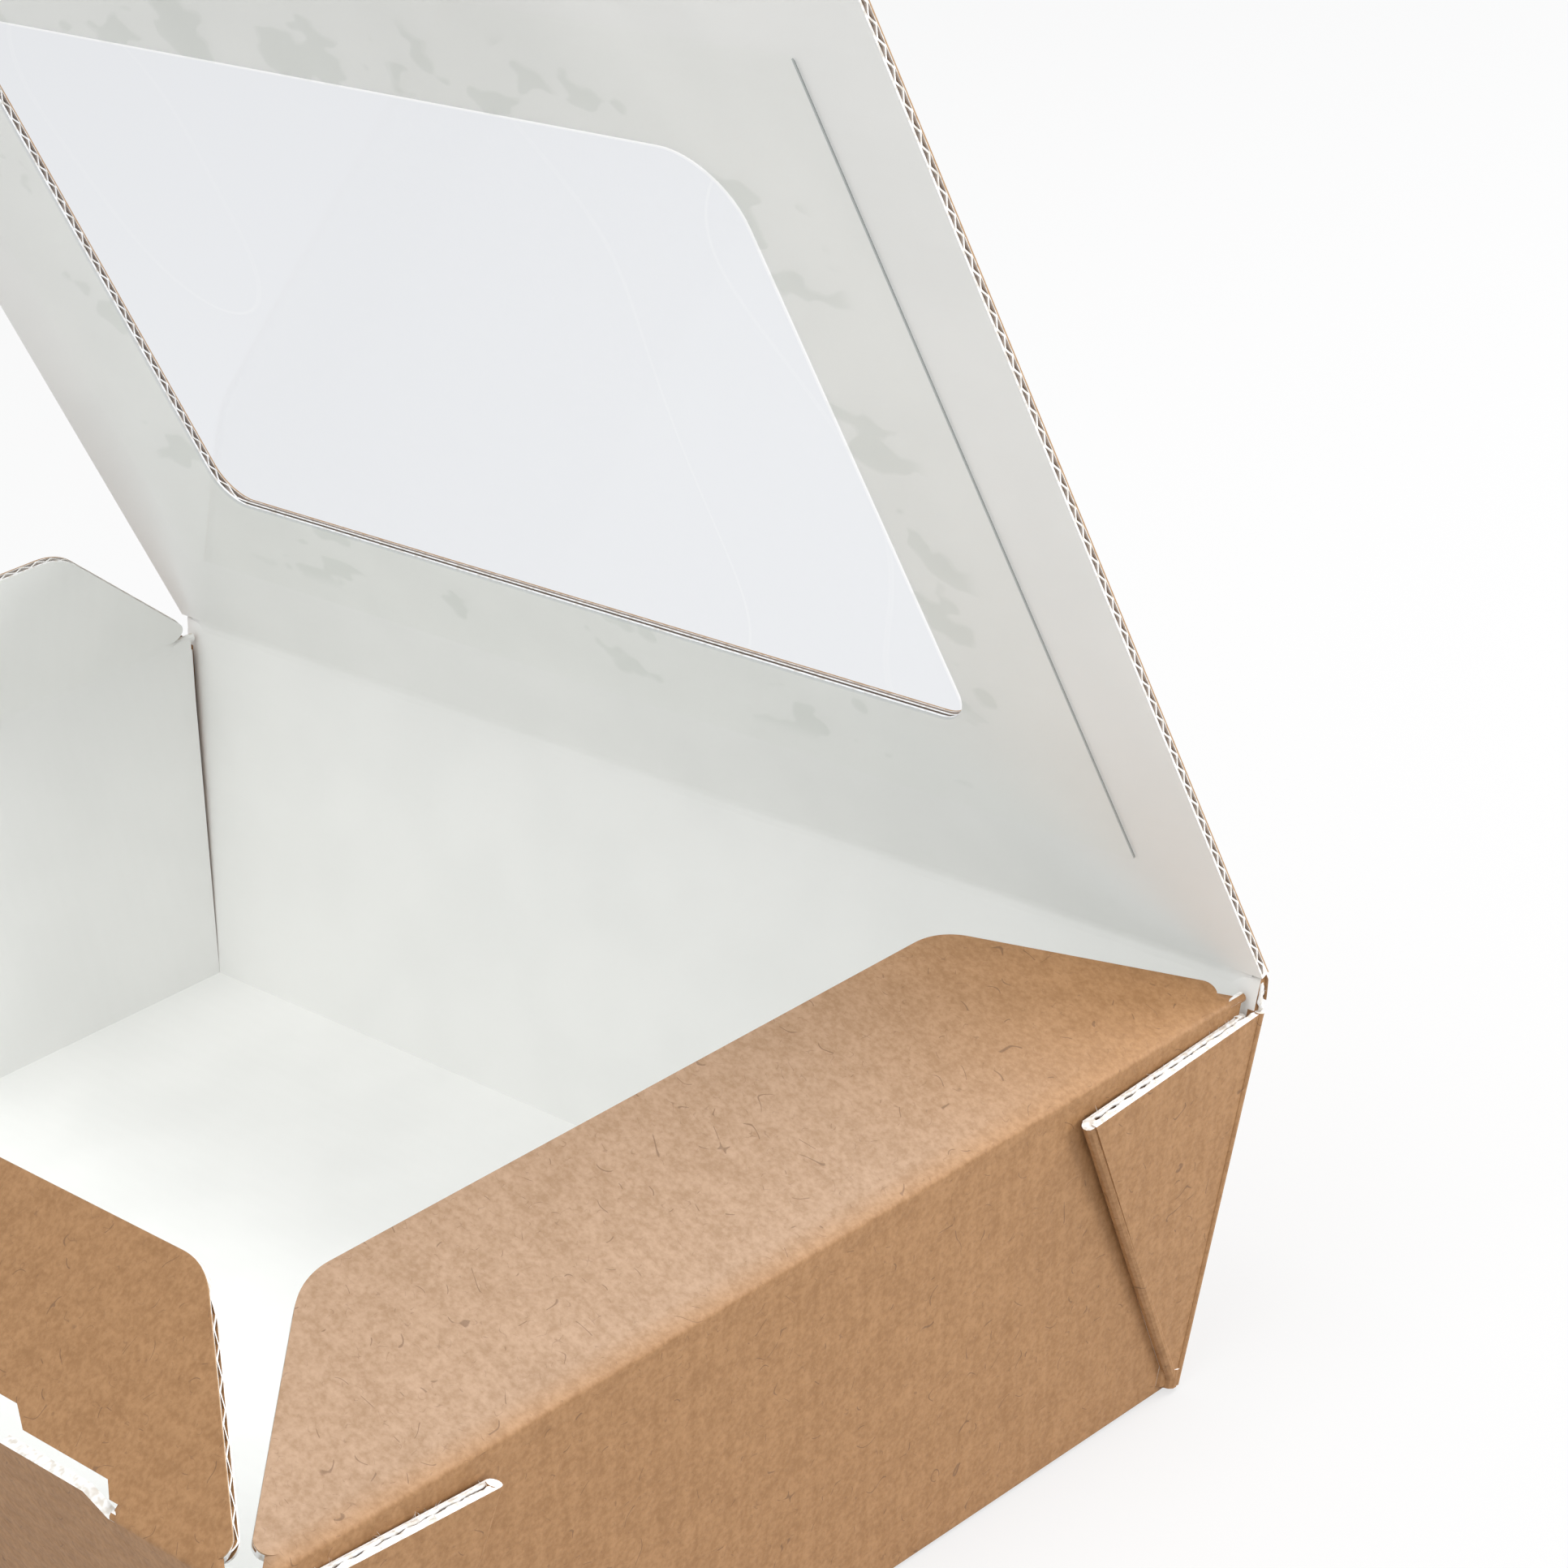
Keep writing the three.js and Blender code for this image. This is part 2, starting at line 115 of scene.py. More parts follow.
RIGHT_FOLD = Vector((RIM_X, 0, RIM_Z))
LEFT_FOLD = Vector((-RIM_X, 0, RIM_Z))
FRONT_FOLD = Vector((0, -RIM_Y, RIM_Z))

# Colours, linear
KRAFT = (0.305, 0.154, 0.060)
KRAFT_PALE = (0.420, 0.228, 0.102)
# Painted sheen: multiplies the right flap's kraft paler and whiter towards its front, a painted highlight
# for the glare it catches
PAINTED_SHEEN = (1.0, 1.21, 1.74)
EDGE_BROWN = (0.480, 0.350, 0.230)
FIBRE = (0.120, 0.060, 0.030)
WHITE = (0.890, 0.892, 0.870)
WHITE_DIM = (0.865, 0.868, 0.846)
WHITE_RAW = (0.860, 0.855, 0.840)
MEDIUM = (0.680, 0.640, 0.580)
OPEN_TINT = (0.925, 0.932, 0.945)
GLUED_TINT = (0.998, 0.999, 0.997)
BLOTCH_TINT = (0.972, 0.976, 0.971)
WRINKLE_TINT = (0.955, 0.960, 0.966)
# Painted shade: dark grey line along the film's right cut edge
FILM_EDGE_SHADE = (0.62, 0.64, 0.65)

# Scales of the noise patterns, per metre, and depths of the bumps
CLOUD_SCALE, GRAIN_SCALE, RELIEF_SCALE, WHITE_CLOUD_SCALE = 330, 1500, 1500, 60
LONG_HAIR_SCALE, SHORT_HAIR_SCALE = 300, 640
TORN_SCALE, FRAY_SCALE, BLOTCH_SCALE, WRINKLE_SCALE = 1300, 900, 90, 15
KRAFT_BUMP, WHITE_BUMP, TORN_BUMP, FRAY_DEPTH = 0.08 * MM, 0.06 * MM, 0.15 * MM, 0.16 * MM

# Studio, in metres and watts
FLOOR_SIZE, FLOOR_DROP, FLOOR_GREY, FLOOR_KEPT = 6, 0.0002, 0.64, 0.3
SKY_COLOR, SKY_STRENGTH = (0.98, 0.99, 1.0), 0.68
LAMPS = (
    ("key", (0.40, 0.75, 1.05), (0.02, 0, 0.05), 0.55, 9.5),
    ("side", (0.95, 0.75, 0.32), (0.09, 0.02, 0.03), 0.4, 5.5),
    ("front", (0.20, -0.50, 1.25), (0, 0, 0.05), 0.9, 7.8),
)
VIEW_PLACE = (0.38084, -0.24533, 0.26956)
VIEW_AZIMUTH, VIEW_ELEVATION, VIEW_ROLL = (math.radians(v) for v in (48.4556, 24.1766, -6.5457))
VIEW_LENS, VIEW_SENSOR = 98.02, 36


class Tree:
    """A material's node tree, built by short calls that return sockets."""

    def __init__(self, name):
        self.material = bpy.data.materials.new(name)
        self.material.use_nodes = True
        self.tree = self.material.node_tree
        self.tree.nodes.clear()

    def node(self, kind, **settings):
        made = self.tree.nodes.new(kind)
        for key, value in settings.items():
            setattr(made, key, value)
        return made

    def plug(self, value, socket):
        if isinstance(value, bpy.types.NodeSocket):
            self.tree.links.new(value, socket)
        elif socket.type == "RGBA" and len(value) == 3:
            socket.default_value = (*value, 1)
        else:
            socket.default_value = value

    def sum(self, operation, *values, clamp=False):
        made = self.node("ShaderNodeMath", operation=operation, use_clamp=clamp)
        for value, socket in zip(values, made.inputs):
            self.plug(value, socket)
        return made.outputs[0]

    def vector(self, operation, *values):
        made = self.node("ShaderNodeVectorMath", operation=operation)
        for value, socket in zip(values, made.inputs):
            self.plug(value, socket)
        scalar = operation in ("DOT_PRODUCT", "LENGTH", "DISTANCE")
        return made.outputs["Value" if scalar else "Vector"]

    def step(self, value, low, high):
        """0 below low, 1 above high, smooth between."""
        made = self.node("ShaderNodeMapRange", interpolation_type="SMOOTHSTEP")
        self.plug(value, made.inputs["Value"])
        made.inputs["From Min"].default_value = low
        made.inputs["From Max"].default_value = high
        return made.outputs["Result"]

    def noise(self, vector, scale, detail):
        made = self.node("ShaderNodeTexNoise")
        self.plug(vector, made.inputs["Vector"])
        made.inputs["Scale"].default_value = scale
        made.inputs["Detail"].default_value = detail
        made.inputs["Roughness"].default_value = 0.6
        return made.outputs["Fac"]

    def mix(self, factor, first, second):
        made = self.node("ShaderNodeMix", data_type="RGBA")
        self.plug(factor, made.inputs[0])
        self.plug(first, made.inputs[6])
        self.plug(second, made.inputs[7])
        return made.outputs[2]

    def split(self, vector):
        made = self.node("ShaderNodeSeparateXYZ")
        self.plug(vector, made.inputs[0])
        return made.outputs

    def place(self):
        """Point and normal in the frame of the part at rest, whatever the pose."""
        made = self.node("ShaderNodeTexCoord")
        return made.outputs["Object"], made.outputs["Normal"]

    def bump(self, height, distance):
        made = self.node("ShaderNodeBump")
        self.plug(height, made.inputs["Height"])
        made.inputs["Distance"].default_value = distance
        return made.outputs["Normal"]

    def shader(self, color, roughness, normal, specular):
        made = self.node("ShaderNodeBsdfPrincipled")
        self.plug(color, made.inputs["Base Color"])
        made.inputs["Roughness"].default_value = roughness
        made.inputs["Specular IOR Level"].default_value = specular
        self.plug(normal, made.inputs["Normal"])
        return made.outputs[0]

    def either(self, factor, first, second):
        """The second shader where the factor is 1."""
        made = self.node("ShaderNodeMixShader")
        self.plug(factor, made.inputs[0])
        self.tree.links.new(first, made.inputs[1])
        self.tree.links.new(second, made.inputs[2])
        return made.outputs[0]

    def done(self, shader):
        out = self.node("ShaderNodeOutputMaterial")
        self.tree.links.new(shader, out.inputs["Surface"])
        return self.material


def hairs(t, point, scale, cover, seed):
    """Short curved fibres: thin level lines of one noise, kept where another is high."""
    moved = t.vector("ADD", point, (seed, seed * 0.7, -seed))
    off = t.sum("ABSOLUTE", t.sum("SUBTRACT", t.noise(moved, scale, 0.0), 0.5))
    thin = t.sum("SUBTRACT", 1.0, t.step(off, 0.004, 0.014))
    patch = t.step(t.noise(moved, scale * 1.6, 0.0), 1 - cover, 1.04 - cover)
    return t.sum("MULTIPLY", thin, patch)


def washboard(t, across):
    """Height of the faint ridges that the flutes leave in the liner."""
    return t.sum("SINE", t.sum("MULTIPLY", across, 2 * math.pi / FLUTE))


def kraft_shader(t, point, across, painted_sheen=False):
    """Brown side: cloudy pulp, grain, dark hairs, faint washboard. When asked, a panel also gets a painted
    sheen: paler and whiter towards its front.
    """
    cloud = t.noise(point, CLOUD_SCALE, 1.0)
    grain = t.noise(point, GRAIN_SCALE, 2.0)
    ridge = washboard(t, across)
    tone = t.sum("ADD", t.sum("MULTIPLY", cloud, 0.32), t.sum("MULTIPLY", grain, 0.68))
    tone = t.sum("ADD", tone, t.sum("MULTIPLY", ridge, 0.014))
    color = t.mix(t.step(tone, 0.27, 0.73), KRAFT, KRAFT_PALE)
    # Painted sheen: paler, whiter colour on the flap above the rim, fading out towards its back
    if painted_sheen:
        _, y, z = t.split(point)
        sheen_mask = t.sum("MULTIPLY", t.step(z, RIM_Z - 0.3 * MM, RIM_Z + 2 * MM), t.step(y, 62 * MM, 10 * MM))
        color = t.vector("MULTIPLY", color, t.mix(sheen_mask, (1, 1, 1), PAINTED_SHEEN))
    dark = t.sum("MULTIPLY", hairs(t, point, LONG_HAIR_SCALE, 0.36, 0.0), 0.55)
    color = t.mix(dark, color, FIBRE)
    small = t.sum("MULTIPLY", hairs(t, point, SHORT_HAIR_SCALE, 0.42, 3.1), 0.30)
    color = t.mix(small, color, FIBRE)
    relief = t.sum("MULTIPLY", t.noise(point, RELIEF_SCALE, 0.0), 0.6)
    height = t.sum("ADD", t.sum("MULTIPLY", ridge, 0.22), relief)
    return t.shader(color, 0.56, t.bump(height, KRAFT_BUMP), 0.38)


def white_shader(t, point, across):
    """Coated side: nearly even, with very faint clouds and washboard."""
    cloud = t.noise(point, WHITE_CLOUD_SCALE, 1.0)
    color = t.mix(t.step(cloud, 0.3, 0.7), WHITE_DIM, WHITE)
    height = t.sum("MULTIPLY", washboard(t, across), 0.12)
    return t.shader(color, 0.6, t.bump(height, WHITE_BUMP), 0.3)


def raw_shader(t, point, white):
    """Cut board: soft white pulp where the factor is 1, brown medium where it is 0."""
    torn = t.noise(point, TORN_SCALE, 1.0)
    brown = t.mix(torn, KRAFT_PALE, EDGE_BROWN)
    pulp = t.mix(t.step(torn, 0.30, 0.55), MEDIUM, WHITE_RAW)
    color = t.mix(white, brown, pulp)
    return t.shader(color, 0.9, t.bump(torn, TORN_BUMP), 0.1)


def board_material(name, white_side, middle, flute_across, painted_sheen=False):
    """Board whose white side faces white_side; middle is a point of its middle plane."""
    t = Tree(name)
    point, normal = t.place()
    facing = t.vector("DOT_PRODUCT", normal, white_side)
    depth = t.vector("DOT_PRODUCT", t.vector("SUBTRACT", point, middle), white_side)
    across = t.vector("DOT_PRODUCT", point, flute_across)
    wander = t.sum("MULTIPLY", t.sum("SUBTRACT", t.noise(point, FRAY_SCALE, 1.0), 0.5), FRAY_DEPTH)
    white_part = t.step(t.sum("ADD", depth, wander), LINER * 0.6 - HALF, LINER * 0.9 - HALF)
    sides = t.either(
        t.sum("GREATER_THAN", facing, 0.66),
        raw_shader(t, point, white_part),
        white_shader(t, point, across),
    )
    kraft = t.sum("LESS_THAN", facing, -0.45)
    return t.done(t.either(kraft, sides, kraft_shader(t, point, across, painted_sheen)))


def tray_material():
    """The tray: white towards the inside, kraft away from it, raw where the board is cut."""
    t = Tree("tray_board")
    point, normal = t.place()
    px, py, pz = t.split(point)
    nx, ny, nz = t.split(normal)
    near_end = t.sum("GREATER_THAN", t.sum("ABSOLUTE", px), SLOT_HALF + TAB_CLEAR)
    in_x = t.sum("MULTIPLY", t.sum("MULTIPLY", nx, t.sum("SIGN", px)), -1.0)
    in_x = t.sum("MULTIPLY", in_x, near_end)
    in_y = t.sum("MULTIPLY", t.sum("MULTIPLY", ny, t.sum("SIGN", py)), -1.0)
    in_z = t.sum("MULTIPLY", nz, t.sum("LESS_THAN", pz, 2.2 * MM))
    inward = t.sum("MAXIMUM", t.sum("MAXIMUM", in_x, in_y), in_z)
    outward = t.sum("MINIMUM", t.sum("MINIMUM", in_x, in_y), in_z)
    on_end = t.sum("GREATER_THAN", t.sum("ABSOLUTE", nx), 0.6)
    on_floor = t.sum("GREATER_THAN", t.sum("ABSOLUTE", nz), 0.6)
    flat = t.sum("MAXIMUM", on_end, on_floor)
    across = t.node("ShaderNodeMix", data_type="FLOAT")
    t.plug(flat, across.inputs[0])
    t.plug(pz, across.inputs[2])
    t.plug(py, across.inputs[3])
    across = across.outputs[0]
    sides = t.either(
        t.sum("GREATER_THAN", inward, 0.6),
        raw_shader(t, point, 1.0),
        white_shader(t, point, across),
    )
    past_wall = t.sum("SUBTRACT", t.sum("ABSOLUTE", px), t.sum("MULTIPLY", pz, END_LEAN))
    past_wall = t.sum("GREATER_THAN", past_wall, FLOOR_X - FLOOR_Z * END_LEAN + 0.75 * MM)
    on_web = t.sum("MULTIPLY", past_wall, t.sum("LESS_THAN", pz, WEB_CORNER_Z + 0.2 * MM))
    on_web = t.sum("MULTIPLY", on_web, t.sum("LESS_THAN", nz, 0.6))
    kraft = t.sum("MAXIMUM", t.sum("LESS_THAN", outward, -0.5), on_web)
    return t.done(t.either(kraft, sides, kraft_shader(t, point, across)))


def plain_board(name, kind, flute_across, painted_sheen=False):
    """A strip of one side of the board, for the creases and the torn bits."""
    t = Tree(name)
    point, _ = t.place()
    across = t.vector("DOT_PRODUCT", point, flute_across)
    if kind == "raw":
        return t.done(raw_shader(t, point, 1.0))
    if kind == "white":
        return t.done(white_shader(t, point, across))
    return t.done(kraft_shader(t, point, across, painted_sheen))


def film_material():
    """Thin clear film: lets most light through and mirrors some, more at low angles."""
    t = Tree("clear_film")
    point, _ = t.place()
    along = t.vector("DOT_PRODUCT", t.vector("SUBTRACT", point, LID_HINGE), LID_ALONG)
    px, _, _ = t.split(point)
    middle = (WINDOW_LOW + WINDOW_HIGH) / 2
    upper = t.sum("GREATER_THAN", along, middle)
    wider = t.sum("MULTIPLY", upper, WINDOW_FRONT_RADIUS - WINDOW_HINGE_RADIUS)
    radius = t.sum("ADD", wider, WINDOW_HINGE_RADIUS)
    run = t.sum("ABSOLUTE", t.sum("SUBTRACT", along, middle))
    over_x = t.sum("ADD", t.sum("SUBTRACT", t.sum("ABSOLUTE", px), WINDOW_HALF), radius)
    over_y = t.sum("ADD", t.sum("SUBTRACT", run, (WINDOW_HIGH - WINDOW_LOW) / 2), radius)
    corner_x, corner_y = t.sum("MAXIMUM", over_x, 0.0), t.sum("MAXIMUM", over_y, 0.0)
    square = t.sum("ADD", t.sum("MULTIPLY", corner_x, corner_x), t.sum("MULTIPLY", corner_y, corner_y))
    inner = t.sum("MINIMUM", t.sum("MAXIMUM", over_x, over_y), 0.0)
    past = t.sum("SUBTRACT", t.sum("ADD", t.sum("SQRT", square), inner), radius)
    glued = t.sum("GREATER_THAN", past, 0.0)
    stretched = t.vector("MULTIPLY", point, (1.0, 1.4, 1.4))
    blotch = t.step(t.noise(stretched, BLOTCH_SCALE, 2.0), 0.575, 0.59)
    near = t.sum("SUBTRACT", 1.0, t.step(past, 9 * MM, 12 * MM))
    blotch = t.sum("MULTIPLY", t.sum("MULTIPLY", blotch, near), glued)
    tint = t.mix(glued, OPEN_TINT, GLUED_TINT)
    tint = t.mix(blotch, tint, BLOTCH_TINT)
    level = t.sum("ABSOLUTE", t.sum("SUBTRACT", t.noise(point, WRINKLE_SCALE, 0.0), 0.53))
    wrinkle = t.sum("SUBTRACT", 1.0, t.step(level, 0.0006, 0.0022))
    wrinkle = t.sum("MULTIPLY", wrinkle, t.sum("SUBTRACT", 0.45, t.sum("MULTIPLY", glued, 0.45)))
    tint = t.mix(wrinkle, tint, WRINKLE_TINT)
    # Painted shade: a thin dark grey line along the film's right cut edge
    rim = t.sum("GREATER_THAN", px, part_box("window_film")[1][0] - 0.16 * MM)
    tint = t.mix(rim, tint, FILM_EDGE_SHADE)
    clear = t.node("ShaderNodeBsdfTransparent")
    t.plug(tint, clear.inputs["Color"])
    gloss = t.node("ShaderNodeBsdfGlossy")
    gloss.inputs["Color"].default_value = (1, 1, 1, 1)
    gloss.inputs["Roughness"].default_value = 0.06
    weight = t.node("ShaderNodeLayerWeight")
    weight.inputs["Blend"].default_value = 0.22
    side = t.node("ShaderNodeNewGeometry")
    front = t.sum("SUBTRACT", 1.0, side.outputs["Backfacing"])
    share = t.sum("MULTIPLY", t.sum("MULTIPLY", weight.outputs["Fresnel"], 0.6), front)
    return t.done(t.either(share, clear.outputs[0], gloss.outputs[0]))


def wear(obj, material):
    obj.data.materials.clear()
    obj.data.materials.append(material)


def paint_model():
    wear(nodes["tray"], tray_material())
    wear(nodes["lid_panel"], board_material("lid_board", -LID_OUT, LID_HINGE, LID_ALONG))
    # The right flap and its crease carry the painted sheen
    right_flap = board_material("right_flap_board", -RIGHT_OUT, RIGHT_FOLD, Y, painted_sheen=True)
    wear(nodes["end_flap_right"], right_flap)
    wear(nodes["end_flap_left"], board_material("left_flap_board", -LEFT_OUT, LEFT_FOLD, Y))
    wear(nodes["front_flap"], board_material("front_flap_board", -FRONT_OUT, FRONT_FOLD, FRONT_ALONG))
    tongue = board_material("tongue_board", -TONGUE_OUT, TONGUE_HINGE, TONGUE_ALONG)
    wear(nodes["lid_tongue"], tongue)
    wear(nodes["window_film"], film_material())


def mesh_object(name, points, faces, material):
    mesh = bpy.data.meshes.new(name)
    mesh.from_pydata([tuple(p) for p in points], [], faces)
    mesh.update()
    for polygon in mesh.polygons:
        polygon.use_smooth = True
    obj = bpy.data.objects.new(name, mesh)
    bpy.context.collection.objects.link(obj)
    wear(obj, material)
    return obj


def swept(rows):
    """Faces and points of a closed bar from rings of the same length."""
    points = [p for ring in rows for p in ring]
    count = len(rows[0])
    faces = []
    for i in range(len(rows) - 1):
        for j in range(count):
            k = (j + 1) % count
            faces.append((i * count + j, i * count + k, (i + 1) * count + k, (i + 1) * count + j))
    faces.append(tuple(range(count - 1, -1, -1)))
    faces.append(tuple((len(rows) - 1) * count + j for j in range(count)))
    return points, faces


def wobble(place, scale, seed=0.0):
    """Smooth noise from -1 to 1 at a point."""
    return noise.noise(Vector(place) * scale + Vector((seed, -seed, seed * 2)))


def ease(value):
    value = min(1, max(0, value))
    return value * value * (3 - 2 * value)


def outer_profile(wall_down, wall_out, panel_along, panel_out, reach, puff):
    """Points of a soft bend on the kraft side, as offsets from the crease's axis."""
    skin = HALF + SKIN_STAND
    out = []
    for s, sunk in BEND_SAMPLES:
        lift = puff * ease(1 - s) - sunk * MM
        out.append(wall_down * reach * s + wall_out * (skin + lift))
    angle = wall_out.angle(panel_out)
    axis = wall_out.cross(panel_out).normalized()
    for i in range(9):
        out.append(turned(wall_out, axis, angle * i / 8) * (skin + puff))
    for s, sunk in BEND_SAMPLES[::-1]:
        lift = puff * ease(1 - s) - sunk * MM
        out.append(panel_along * reach * s + panel_out * (skin + lift))
    return out


def inner_profile(wall_down, wall_out, panel_along, panel_out, reach):
    """Points of the fillet on the white side, as offsets from the crease's axis."""
    skin = HALF + SKIN_STAND
    start = wall_down * reach - wall_out * (HALF - SKIN_THICK)
    end = panel_along * reach - panel_out * (HALF - SKIN_THICK)
    half_turn = wall_out.angle(panel_out) / 2
    middle = -(wall_out + panel_out).normalized() * (skin / math.cos(half_turn))
    out = []
    for i in range(15):
        u = i / 14
        near = start.lerp(middle, min(1, u * 2.0)) if u < 0.5 else middle.lerp(end, u * 2 - 1)
        curve = start * (1 - u) ** 2 + middle * 2 * u * (1 - u) + end * u * u
        share = 0.35 * math.sin(math.pi * u) ** 2
        out.append(near.lerp(curve, share))
    return out


def crease_skin(name, start, end, slants, profile, into, panel_along, bodies, joint_span, material):
    """Paper skin along a crease from start to end; `into` points into the board.

    It gets shorter along the panel by the slant of each of the panel's ends.
    """
    rings = []
    length = (end - start).length
    last = len(profile) - 1
    for i in range(SKIN_ROWS + 1):
        base = start.lerp(end, i / SKIN_ROWS)
        from_end = min(i, SKIN_ROWS - i) / SKIN_ROWS * length
        sink = SKIN_SINK * (1 - ease(from_end / SKIN_SINK_RUN))
        outer, inner = [], []
        for j, offset in enumerate(profile):
            bend = math.sin(math.pi * j / last)
            sway = wobble(base + offset * 2, 160, 4.0) * SKIN_SWAY * bend
            away = max(0, offset.dot(panel_along))
            first, final = away * slants[0] / length, 1 - away * slants[1] / length
            spot = start.lerp(end, first + (final - first) * i / SKIN_ROWS)
            spot += offset + into * (sink - sway)
            outer.append(spot)
            inner.append(spot + into * SKIN_THICK * bend)
        rings.append(outer + inner[::-1])
    points, faces = swept(rings)
    obj = mesh_object(name, points, faces, material)
    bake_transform(obj)


def creases():
    """Paper skins over every crease that turns, so that the bends look soft."""
    kraft = plain_board("crease_kraft", "kraft", Y)
    kraft_long = plain_board("crease_kraft_long", "kraft", Z)
    # Kraft with the right flap's painted sheen, for its crease
    kraft_painted_sheen = plain_board("crease_kraft_painted_sheen", "kraft", Y, painted_sheen=True)
    white = plain_board("crease_white", "white", Y)
    white_long = plain_board("crease_white_long", "white", Z)

    def pair(name, axis, ends, wall, panel, bodies, paints, reach, puff=SKIN_PUFF):
        """The kraft and the white skin of a crease, one of each for every run of it in `ends`."""
        (wall_down, wall_out), (panel_along, panel_out) = wall, panel
        middle = (wall_out + panel_out).normalized()
        span = (axis + wall_down * BLEND_REACH, axis + panel_along * BLEND_REACH)
        outside = outer_profile(*wall, *panel, reach, puff)
        inside = inner_profile(*wall, *panel, INNER_REACH)
        for start, end, slants, label in ends:
            a, b = axis + start, axis + end
            shorter = (b - a).normalized() * INNER_SHORTER
            shared = (panel_along, bodies, span)
            crease_skin(f"{name}_outside{label}", a, b, slants, outside, -middle, *shared, paints[0])
            a, b = a + shorter, b - shorter
            crease_skin(f"{name}_inside{label}", a, b, slants, inside, middle, *shared, paints[1])

    flap_half = RIM_Y - FLAP_END - SKIN_CLEAR
    for side, along, out, body in (
        (1, RIGHT_ALONG, RIGHT_OUT, "right_flap"),
        (-1, LEFT_ALONG, LEFT_OUT, "left_flap"),
    ):
        down = Vector((-side * math.sin(END_SLANT), 0, -math.cos(END_SLANT)))
        wall_out = Vector((side * math.cos(END_SLANT), 0, -math.sin(END_SLANT)))
        wall, panel = (down, wall_out), (along, out)
        axis = Vector((side * RIM_X, 0, RIM_Z))
        ends = [(-Y * flap_half, Y * flap_half, (END_SLOPE, END_SLOPE), "")]
        paints = (kraft_painted_sheen if side > 0 else kraft, white)
        pair(body + "_crease", axis, ends, wall, panel, ("tray", body), paints, FLAP_REACH)

    long_paints = (kraft_long, white_long)
    down = Vector((0, math.sin(LONG_SLANT), -math.cos(LONG_SLANT)))
    wall_out = Vector((0, -math.cos(LONG_SLANT), -math.sin(LONG_SLANT)))
    wall, panel = (down, wall_out), (FRONT_ALONG, FRONT_OUT)
    inner_end = SLOT_HALF + SLOT_CLEAR
    outer_end = RIM_X - FLAP_END - SKIN_CLEAR
    ends = [
        (X * inner_end, X * outer_end, (0, END_SLOPE), "_right"),
        (-X * outer_end, -X * inner_end, (END_SLOPE, 0), "_left"),
    ]
    pair("front_crease", FRONT_FOLD, ends, wall, panel, ("tray", "front_flap"), long_paints, FRONT_REACH)

    down = Vector((0, -math.sin(LONG_SLANT), -math.cos(LONG_SLANT)))
    wall_out = Vector((0, math.cos(LONG_SLANT), -math.sin(LONG_SLANT)))
    wall, panel = (down, wall_out), (LID_ALONG, LID_OUT)
    hinge_half = TOP_HALF - 0.3 * MM
    ends = [(-X * hinge_half, X * hinge_half, (0, 0), "")]
    pair("lid_crease", LID_HINGE, ends, wall, panel, ("tray", "lid"), long_paints, LID_REACH, 0)

    wall, panel = (-LID_ALONG, LID_OUT), (TONGUE_ALONG, TONGUE_OUT)
    tongue_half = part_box("lid_tongue")[1][0] - SKIN_CLEAR
    ends = [(-X * tongue_half, X * tongue_half, (0, 0), "")]
    pair("tongue_crease", TONGUE_HINGE, ends, wall, panel, ("lid", "tongue"), long_paints, LID_REACH, 0)


def diagonal_slope():
    """How far a web's diagonal fold runs inward for each unit of height, as in the CAD."""
    end_slant = math.hypot(WALL_RISE, RIM_X - FLOOR_X)
    long_slant = math.hypot(WALL_RISE, RIM_Y - FLOOR_Y)
    end_angle = math.atan((RIM_Y - FLOOR_Y) / end_slant)
    corner_shift = RIM_X - FLOOR_X + 2 * (LAYER_PITCH - APEX_PITCH)
    long_angle = math.atan(corner_shift / long_slant)
    web_half = (math.pi / 2 - end_angle - long_angle) / 2
    return math.tan(web_half - end_angle) * end_slant / WALL_RISE + LONG_LEAN


SLOPE = diagonal_slope()


def layer_point(layer, side_x, side_y, inward, z):
    """Point on layer 0 (end wall), 1 or 2 of a corner, as in the CAD."""
    share = (z - FLOOR_Z) / WALL_RISE
    pitch = APEX_PITCH + (LAYER_PITCH - APEX_PITCH) * share
    lift = WEB_LIFT * inward / (SLOPE * WALL_RISE)
    x = FLOOR_X + (z - FLOOR_Z) * END_LEAN + layer * (pitch + lift / 2)
    y = FLOOR_Y + (z - FLOOR_Z) * LONG_LEAN - inward
    return Vector((side_x * x, side_y * y, z))


def torn_edge(name, path, width, up, across, material, rng, wave, body="tray"):
    """A fuzzy ridge of torn pulp along a cut edge."""
    rings = []
    length = sum((path(i / 20) - path((i + 1) / 20)).length for i in range(20))
    rows = max(12, int(length / TEAR_STEP))
    seed = rng.random() * 50
    for i in range(rows + 1):
        u = i / rows
        base = path(u)
        taper = min(1, u * 14, (1 - u) * 14) ** 0.5 if 0 < u < 1 else 0.05
        side = across * (math.sin(u * length / FLUTE * 2 * math.pi + seed) * wave * 0.5 * MM)
        side += across * (wobble((u * length, seed * MM, 0), 900) * 0.12 * MM)
        tall = TEAR_TALL * (0.75 + 0.45 * wobble((u * length, 0, seed * MM), 1400)) * taper
        wide = width * (0.85 + 0.35 * wobble((0, u * length, seed * MM), 1100)) * taper
        ring = []
        for j in range(8):
            a = 2 * math.pi * j / 8
            rough = 1 + 0.35 * wobble((u * length, a * MM, seed * MM), 2600)
            outward = across * (math.cos(a) * wide / 2 * rough)
            ring.append(base + side + outward + up * (math.sin(a) * tall * rough))
        rings.append(ring)
    points, faces = swept(rings)
    obj = mesh_object(name, points, faces, material)
    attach(obj, body)


